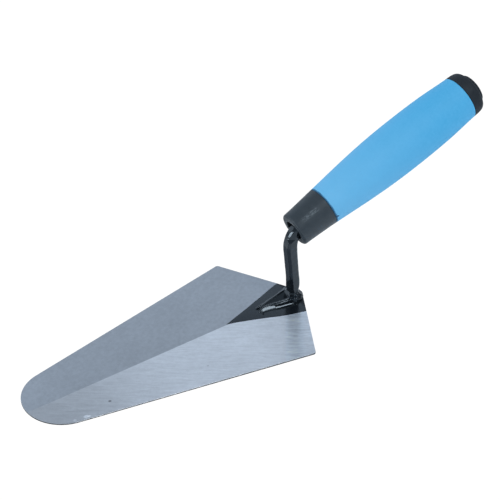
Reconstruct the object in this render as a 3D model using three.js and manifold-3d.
// A round-nosed bricklayer's gauging trowel: taper-ground steel blade, forged
// cranked shank with a welded foot, and a two-component handle.
//
// Frame, in millimetres: the blade's flat underside is the plane z = 0, +Z is up,
// the blade's nose points along -X and the handle rises towards +X. Y is across the
// blade. The origin is on the underside, on the centre line, below the shank's root;
// the shapes are first drawn from the heel's apex, which is ROOT_SETBACK behind it.
import * as THREE from "three";
import { mergeVertices } from "three/addons/utils/BufferGeometryUtils.js";
import Module from "manifold-3d";

const wasm = await Module();
wasm.setup();

// Dimensions shared by several pieces
const ROOT_SETBACK = 8; // heel's apex behind the origin
const PLATE_T = 1.75; // thickness of the unground triangle at the heel

// The handle's axis; distances along it are called u
const HANDLE_X = -5.09; // the axis's point where u = 0
const HANDLE_Z = 51.2;
const HANDLE_TILT = THREE.MathUtils.degToRad(21.17); // rise above the blade
const TANG_END_U = 112; // tip of the tang

// ------------------------------------------------------------------- helpers
const v2 = (x, y) => new THREE.Vector2(x, y);
const v3 = (x, y, z) => new THREE.Vector3(x, y, z);

const toSolid = (geometry) => {
  const bare = geometry.clone();
  bare.deleteAttribute("normal");
  bare.deleteAttribute("uv");
  const merged = mergeVertices(bare, 1e-4);
  return new wasm.Manifold(
    new wasm.Mesh({
      numProp: 3,
      vertProperties: merged.attributes.position.array,
      triVerts: new Uint32Array(merged.index.array),
    }),
  );
};

const toGeometry = (solid) => {
  const mesh = solid.getMesh();
  const positions = new Float32Array(mesh.vertProperties);
  const geometry = new THREE.BufferGeometry();
  geometry.setAttribute("position", new THREE.BufferAttribute(positions, 3));
  geometry.setIndex(new THREE.BufferAttribute(new Uint32Array(mesh.triVerts), 1));
  geometry.computeVertexNormals();
  return geometry;
};

// A polygon whose corners are [x, y, radius, steps]; radius 0 leaves a corner sharp.
const roundedPolygon = (corners) => {
  const count = corners.length;
  const cornerAt = (i) => v2(corners[i % count][0], corners[i % count][1]);
  return corners.flatMap(([x, y, radius, steps], i) => {
    const tip = v2(x, y);
    if (!radius) return [tip];
    const toPrevious = cornerAt(i + count - 1).sub(tip).normalize();
    const toNext = cornerAt(i + 1).sub(tip).normalize();
    const halfAngle = Math.acos(THREE.MathUtils.clamp(toPrevious.dot(toNext), -1, 1)) / 2;
    const bisector = toPrevious.clone().add(toNext).normalize();
    const centre = tip.clone().addScaledVector(bisector, radius / Math.sin(halfAngle));
    const setback = radius / Math.tan(halfAngle);
    const arcStart = tip.clone().addScaledVector(toPrevious, setback);
    const arcEnd = tip.clone().addScaledVector(toNext, setback);
    const startAngle = Math.atan2(arcStart.y - centre.y, arcStart.x - centre.x);
    let sweep = Math.atan2(arcEnd.y - centre.y, arcEnd.x - centre.x) - startAngle;
    // take the shorter way round
    while (sweep > Math.PI) sweep -= 2 * Math.PI;
    while (sweep < -Math.PI) sweep += 2 * Math.PI;
    return Array.from({ length: steps + 1 }, (_, step) => {
      const angle = startAngle + (sweep * step) / steps;
      return v2(centre.x + radius * Math.cos(angle), centre.y + radius * Math.sin(angle));
    });
  });
};

// A closed body lofted through rings of equal length, capped at both ends.
const loft = (rings) => {
  const count = rings[0].length;
  const positions = rings.flat().flatMap((point) => point.toArray());
  const indices = [];
  for (let i = 0; i + 1 < rings.length; i++) {
    for (let j = 0; j < count; j++) {
      const here = i * count + j;
      const next = i * count + ((j + 1) % count);
      indices.push(here, next, here + count, next, next + count, here + count);
    }
  }
  const addCap = (ringIndex, flip) => {
    const centre = v3(0, 0, 0);
    rings[ringIndex].forEach((point) => centre.add(point));
    centre.divideScalar(count);
    const hub = positions.length / 3;
    positions.push(centre.x, centre.y, centre.z);
    for (let j = 0; j < count; j++) {
      const here = ringIndex * count + j;
      const next = ringIndex * count + ((j + 1) % count);
      indices.push(hub, ...(flip ? [here, next] : [next, here]));
    }
  };
  addCap(0, false);
  addCap(rings.length - 1, true);
  const geometry = new THREE.BufferGeometry();
  const positionArray = new Float32Array(positions);
  geometry.setAttribute("position", new THREE.BufferAttribute(positionArray, 3));
  geometry.setIndex(indices);
  return geometry;
};

// Linear interpolation in a table of [x, value...] rows sorted by x.
const lookup = (table, x) => {
  let i = 1;
  while (i < table.length - 1 && table[i][0] < x) i++;
  const [before, after] = [table[i - 1], table[i]];
  const t = THREE.MathUtils.clamp((x - before[0]) / (after[0] - before[0]), 0, 1);
  return before.slice(1).map((value, column) => value + (after[column + 1] - value) * t);
};

// --------------------------------------------------------------------- blade
const BLADE_L = 190.2; // heel apex to nose tip
const BLADE_HALF_W = 51.25; // half the width across the heel corners
const HEEL_DEPTH = 27.3; // heel apex to the line through the corners
const NOSE_R = 24.5;
const NOSE_STEPS = 28;
const CORNER_R = 1.8; // rounding of the two heel corners
const APEX_R = 3; // rounding of the heel's apex
const HEEL_STEPS = 4; // steps round each of those roundings
const GRIND_APEX_X = -55; // where the two ground facets meet and the ridge begins
const GRIND_SPREAD = 0.36; // plan slope of the unground triangle's two sides
const GRIND_FALL = 0.0155; // fall of each ground facet per millimetre of Y
const CUTTER_SPAN = 500; // block that cuts a facet, larger than the blade
const CUTTER_H = 40;

// Plan outline: straight sides running tangent into the round nose, and a heel of
// two straight edges that meet on the centre line.
const bladeOutline = () => {
  const noseX = -BLADE_L + NOSE_R;
  const toCorner = v2(-HEEL_DEPTH - noseX, BLADE_HALF_W);
  const tangentAngle = toCorner.angle() + Math.acos(NOSE_R / toCorner.length());
  const noseArc = [];
  for (let i = 0; i <= NOSE_STEPS; i++) {
    const angle = tangentAngle + ((2 * Math.PI - 2 * tangentAngle) * i) / NOSE_STEPS;
    noseArc.push([noseX + NOSE_R * Math.cos(angle), NOSE_R * Math.sin(angle), 0, 0]);
  }
  return roundedPolygon([
    [0, 0, APEX_R, HEEL_STEPS],
    [-HEEL_DEPTH, BLADE_HALF_W, CORNER_R, HEEL_STEPS],
    ...noseArc,
    [-HEEL_DEPTH, -BLADE_HALF_W, CORNER_R, HEEL_STEPS],
  ]);
};

// Each ground facet is a plane that leaves the flat plate along one side of the
// triangle and falls towards the blade's edge; a block above that plane is cut away.
const facetCutter = (side) => {
  const normal = v3(-GRIND_FALL * GRIND_SPREAD, side * GRIND_FALL, 1).normalize();
  const block = new THREE.BoxGeometry(CUTTER_SPAN, CUTTER_SPAN, CUTTER_H);
  block.translate(0, 0, CUTTER_H / 2);
  block.applyQuaternion(new THREE.Quaternion().setFromUnitVectors(v3(0, 0, 1), normal));
  block.translate(GRIND_APEX_X, 0, PLATE_T);
  return toSolid(block);
};

const makeBlade = () => {
  const shape = new THREE.Shape(bladeOutline());
  const extrusion = new THREE.ExtrudeGeometry(shape, { depth: PLATE_T, bevelEnabled: false });
  return toGeometry(toSolid(extrusion).subtract(facetCutter(1)).subtract(facetCutter(-1)));
};

// --------------------------------------------------------------------- shank
// One forging: the foot that lies on the blade, the cranked square neck and the tang.
const NECK_FOOT_HALF = 6.7 / 2; // half the side of the square bar at its foot
const NECK_TOP_HALF = 6.2 / 2; // and at the crank
const NECK_CORNER_R = 1.2; // rounding of the bar's corners
const BAR_CORNER_STEPS = 3;
const BEND_R = 12.5; // centre-line radius of the crank
const BEND_STEPS = 10;
const TANG_ROUNDING = 0.35; // tang's corner radius over its half side

const axisDir = v3(Math.cos(HANDLE_TILT), 0, Math.sin(HANDLE_TILT));
const neckDir = v3(-0.08, 0, 1).normalize();
const neckTop = v3(-8.35, 0, 30);

// Lower neck, slightly curved where it grows out of the foot: [x, z, half side]
const NECK = [
  [-8.9, 3.4, NECK_FOOT_HALF + 0.12],
  [-8.1, 5.9, NECK_FOOT_HALF],
  [-7.3, 9, NECK_FOOT_HALF],
  [-7.08, 12.5, NECK_FOOT_HALF - 0.03],
  [-7.5, 18, NECK_FOOT_HALF - 0.1],
  [neckTop.x, neckTop.z, NECK_TOP_HALF + 0.06],
];

// Tang: [u, half side]
const TANG = [[40, 3.2], [80, 2.8], [TANG_END_U - 4, 2.4], [TANG_END_U, 1.3]];

// Foot: [x, half width at the blade, half width on top, top height]
const FOOT = [
  [-31.6, 0.5, 0.25, 2.4],
  [-31.0, 1.1, 0.6, 2.8],
  [-30.2, 1.7, 1.1, 3.2],
  [-29.0, 2.3, 1.85, 3.45],
  [-26.0, 3.25, 2.85, 3.9],
  [-22.0, 4.35, 4.05, 4.3],
  [-18.0, 5.2, 4.95, 4.65],
  [-14.0, 5.9, 5.6, 4.95],
  [-11.0, 6.3, 5.9, 5.0],
  [-8.0, 6.5, 5.6, 4.9],
  [-5.0, 6.3, 4.6, 4.4],
  [-3.2, 5.0, 3.6, 3.9],
  [-1.9, 3.1, 2.2, 3.3],
  [-1.0, 1.5, 0.9, 2.7],
];

// Section of the square bar, across the direction it runs in.
const barRing = (centre, direction, half, cornerR) => {
  const across = v3(0, 1, 0);
  const other = new THREE.Vector3().crossVectors(across, direction).normalize();
  const signs = [[1, 1], [-1, 1], [-1, -1], [1, -1]];
  const corners = signs.map(([x, y]) => [x * half, y * half, cornerR, BAR_CORNER_STEPS]);
  return roundedPolygon(corners).map(({ x, y }) =>
    centre.clone().addScaledVector(across, y).addScaledVector(other, x),
  );
};

// The crank: an arc tangent to the neck's line and to the handle's axis.
const bendRings = () => {
  const cross = (a, b) => a.x * b.z - a.z * b.x;
  const toAxis = v3(HANDLE_X, 0, HANDLE_Z).sub(neckTop);
  const kneeDistance = cross(toAxis, axisDir) / cross(neckDir, axisDir);
  const turn = Math.acos(neckDir.dot(axisDir));
  const setback = BEND_R * Math.tan(turn / 2);
  const inward = v3(neckDir.z, 0, -neckDir.x);
  const centre = neckTop.clone()
    .addScaledVector(neckDir, kneeDistance - setback)
    .addScaledVector(inward, BEND_R);
  return Array.from({ length: BEND_STEPS + 1 }, (_, i) => {
    const angle = (turn * i) / BEND_STEPS;
    const cos = Math.cos(angle);
    const sin = Math.sin(angle);
    const direction = neckDir.clone().multiplyScalar(cos).addScaledVector(inward, sin);
    const point = centre.clone()
      .addScaledVector(inward, -BEND_R * cos)
      .addScaledVector(neckDir, BEND_R * sin);
    return barRing(point, direction, NECK_TOP_HALF, NECK_CORNER_R);
  });
};

const tangRing = ([u, half]) => {
  const centre = v3(HANDLE_X, 0, HANDLE_Z).addScaledVector(axisDir, u);
  return barRing(centre, axisDir, half, half * TANG_ROUNDING);
};

// Section of the foot: leaning sides, chamfered top edges and a slightly dished top.
const footRing = ([x, baseHalf, topHalf, top]) => {
  const height = top - PLATE_T;
  const chamfer = Math.min(0.25 * height, 0.4 * topHalf, 0.35);
  const sideHalf = topHalf + ((baseHalf - topHalf) / height) * chamfer;
  const flatHalf = topHalf - chamfer * 0.8;
  return [
    v3(x, baseHalf, PLATE_T),
    v3(x, sideHalf, top - chamfer),
    v3(x, flatHalf, top),
    v3(x, 0, top - 0.06 * topHalf),
    v3(x, -flatHalf, top),
    v3(x, -sideHalf, top - chamfer),
    v3(x, -baseHalf, PLATE_T),
  ];
};

const makeShank = () => {
  const neckRings = NECK.map(([x, z, half]) =>
    barRing(v3(x, 0, z), neckDir, half, NECK_CORNER_R),
  );
  const neck = toSolid(loft([...neckRings, ...bendRings(), ...TANG.map(tangRing)]));
  const foot = toSolid(loft(FOOT.map(footRing)));
  return toGeometry(foot.add(neck));
};

// ---------------------------------------------------------------- weld beads
// A fillet bead along each long side of the foot, heavier at the nose end and
// tapering out at both ends: [x, outer edge on the blade, height].
const BEAD = [
  [-31.4, 2.5, 0.7], [-31.0, 3.0, 1.0], [-30.2, 3.5, 1.4], [-29.0, 3.8, 1.8],
  [-26.0, 4.5, 1.8], [-25.2, 4.7, 1.75], [-24.3, 4.75, 0.95], [-22.0, 5.08, 0.82],
  [-18.0, 5.8, 0.7], [-14.0, 6.5, 0.62], [-11.0, 6.95, 0.52], [-9.4, 7.05, 0.4],
];
const BEAD_GAP = 0.22; // clearance between the foot's side and the bead
const BEAD_MAX_RISE = 0.7; // highest the bead reaches, as a share of the foot's height

// side is 1 for the bead on +Y, -1 for the one on -Y.
const makeWeldBead = (side) => {
  const rings = BEAD.map(([x, outer, height]) => {
    const [baseHalf, topHalf, top] = lookup(FOOT, x);
    const footHeight = top - PLATE_T;
    const rise = Math.min(height, footHeight * BEAD_MAX_RISE);
    const lean = ((baseHalf - topHalf) / footHeight) * rise;
    const inner = baseHalf + BEAD_GAP;
    const ring = [
      v3(x, side * inner, PLATE_T),
      v3(x, side * outer, PLATE_T),
      v3(x, side * (inner + (outer - inner) * 0.62 - lean * 0.4), PLATE_T + rise * 0.6),
      v3(x, side * (inner - lean), PLATE_T + rise),
    ];
    // mirroring turns the ring inside out, so it is run the other way
    return side < 0 ? ring.reverse() : ring;
  });
  return toGeometry(toSolid(loft(rings)));
};

// -------------------------------------------------------------------- handle
const FACE_U = -2.2; // front face of the collar
const COLLAR_U = 20.6; // rear edge of the front collar
const CAP_U = 129.6; // front edge of the butt cap
const CAP_END_U = 137.7; // rear face of the butt cap
const PLUG_END_U = 140.3; // rear face of the end plug
const GAP = 0.3; // clearance left between mating pieces
const HANDLE_SEGMENTS = 56;

const TUBE_END_U = CAP_U - 4; // where the core's tube steps down to its tail
const TUBE_END_R = 11.4;
const TAIL_END_U = CAP_U + 3.6;
const TAIL_R = 10.2;
const TAIL_BORE_R = 8;
const BORE_END_U = TANG_END_U + 3; // where the narrow tang bore widens
const TANG_BORE_R = 4.9;
const CAP_SHELF_U = CAP_U + 4.4; // inner ledge of the cap, behind which the plug's disc sits
const PLUG_R = 9.3;
const STEM_R = 7.55;
const STEM_BORE_R = 5.6;
const STEM_FRONT_U = CAP_U - 6;
const STEM_BORE_END_U = CAP_U + 3.2;

// Outside of the core's tube under the grip: [u, radius]
const TUBE = [[40, 11.1], [60, 12.4], [85, 13.0], [110, 12.5]];

// Outside of the grip: [u, radius]
const GRIP = [
  [COLLAR_U + GAP, 12.19], [30, 13.03], [40, 13.94], [50, 14.75], [60, 15.38],
  [70, 15.79], [80, 15.98], [90, 15.99], [100, 15.86], [110, 15.50],
  [120, 14.84], [126, 14.39], [CAP_U - GAP, 14.19],
];

// Turned body from a profile of [u, radius]; its axis is +Y.
const lathe = (profile) =>
  new THREE.LatheGeometry(profile.map(([u, radius]) => v2(radius, u)), HANDLE_SEGMENTS);
// The same for a hollow piece, whose profile closes on its first point.
const latheHollow = (profile) => lathe([...profile, profile[0]]);

// Moulded core: front collar with its recess, and the tube under the grip.
const makeCore = () =>
  latheHollow([
    [FACE_U + 6.2, 6.6], [FACE_U, 6.75], [FACE_U, 8.9], [FACE_U + 0.25, 9.55],
    [FACE_U + 0.85, 10.2], [FACE_U + 1.6, 10.55], [8, 11.21],
    [COLLAR_U - 0.1, 12.18], [COLLAR_U, 12.01], [COLLAR_U, 9.6],
    ...TUBE,
    [TUBE_END_U, TUBE_END_R], [TUBE_END_U, TAIL_R], [TAIL_END_U, TAIL_R],
    [TAIL_END_U, TAIL_BORE_R], [BORE_END_U, TAIL_BORE_R],
    [BORE_END_U, TANG_BORE_R], [FACE_U + 9.5, TANG_BORE_R],
  ]);

// Soft grip sleeve moulded round the core.
const makeGrip = () =>
  latheHollow([
    ...GRIP,
    [CAP_U - GAP, 13.9], [CAP_U - GAP, 11.0 + GAP],
    [TUBE_END_U - GAP, TUBE_END_R + GAP],
    ...TUBE.map(([u, radius]) => [u, radius + GAP]).reverse(),
    [COLLAR_U + GAP, 9.65 + GAP],
  ]);

// Butt cap: a collar with a rounded rim, pressed over the core's tail.
const makeCap = () =>
  latheHollow([
    [CAP_U, TAIL_R + GAP], [CAP_U, 14.0], [CAP_U + 0.15, 14.17], [CAP_U + 3.4, 14.04],
    [CAP_U + 5.2, 13.77], [CAP_U + 6.5, 13.3], [CAP_U + 7.4, 12.6],
    [CAP_END_U - 0.2, 11.7], [CAP_END_U, 10.6], [CAP_END_U - 0.05, 10.0],
    [CAP_END_U - 0.4, 9.7], [CAP_END_U - 1.2, 9.65], [CAP_SHELF_U, 9.65],
    [CAP_SHELF_U, 7.9], [TAIL_END_U + GAP, 7.9], [TAIL_END_U + GAP, TAIL_R + GAP],
  ]);

// End plug: a flat disc standing just proud of the cap, on a hollow stem in the
// core's bore.
const makePlug = () =>
  lathe([
    [STEM_BORE_END_U, 0], [STEM_BORE_END_U, STEM_BORE_R],
    [STEM_FRONT_U, STEM_BORE_R], [STEM_FRONT_U, STEM_R],
    [CAP_SHELF_U + GAP, STEM_R], [CAP_SHELF_U + GAP, PLUG_R],
    [PLUG_END_U - 1.4, PLUG_R], [PLUG_END_U - 0.75, 9.05],
    [PLUG_END_U - 0.25, 8.5], [PLUG_END_U, 7.6], [PLUG_END_U, 0],
  ]);

// ----------------------------------------------------------------- materials
const standard = (settings) => new THREE.MeshStandardMaterial(settings);
const groundSteel = standard({ color: 0x9aa8b8, roughness: 0.38, metalness: 1 });
const lacquer = standard({ color: 0x2c343b, roughness: 0.25, metalness: 0.1 });
const hardPlastic = standard({ color: 0x343c43, roughness: 0.55, metalness: 0 });
const softPlastic = standard({ color: 0x4aa6de, roughness: 0.6, metalness: 0 });

// ------------------------------------------------------------------ assembly
const add = (parent, name, geometry, material) => {
  const mesh = new THREE.Mesh(geometry, material);
  mesh.name = name;
  parent.add(mesh);
};

const trowel = new THREE.Group();
const body = new THREE.Group();
body.position.set(ROOT_SETBACK, 0, 0);
trowel.add(body);
add(body, "blade", makeBlade(), groundSteel);
add(body, "shank", makeShank(), lacquer);
add(body, "weld_bead_left", makeWeldBead(1), lacquer);
add(body, "weld_bead_right", makeWeldBead(-1), lacquer);

// The group lays the turned pieces' +Y axis along the handle.
const handle = new THREE.Group();
handle.position.set(HANDLE_X, 0, HANDLE_Z);
handle.quaternion.setFromUnitVectors(v3(0, 1, 0), axisDir);
add(handle, "handle_core", makeCore(), hardPlastic);
add(handle, "soft_grip", makeGrip(), softPlastic);
add(handle, "butt_cap", makeCap(), hardPlastic);
add(handle, "end_plug", makePlug(), hardPlastic);
body.add(handle);

export default trowel;
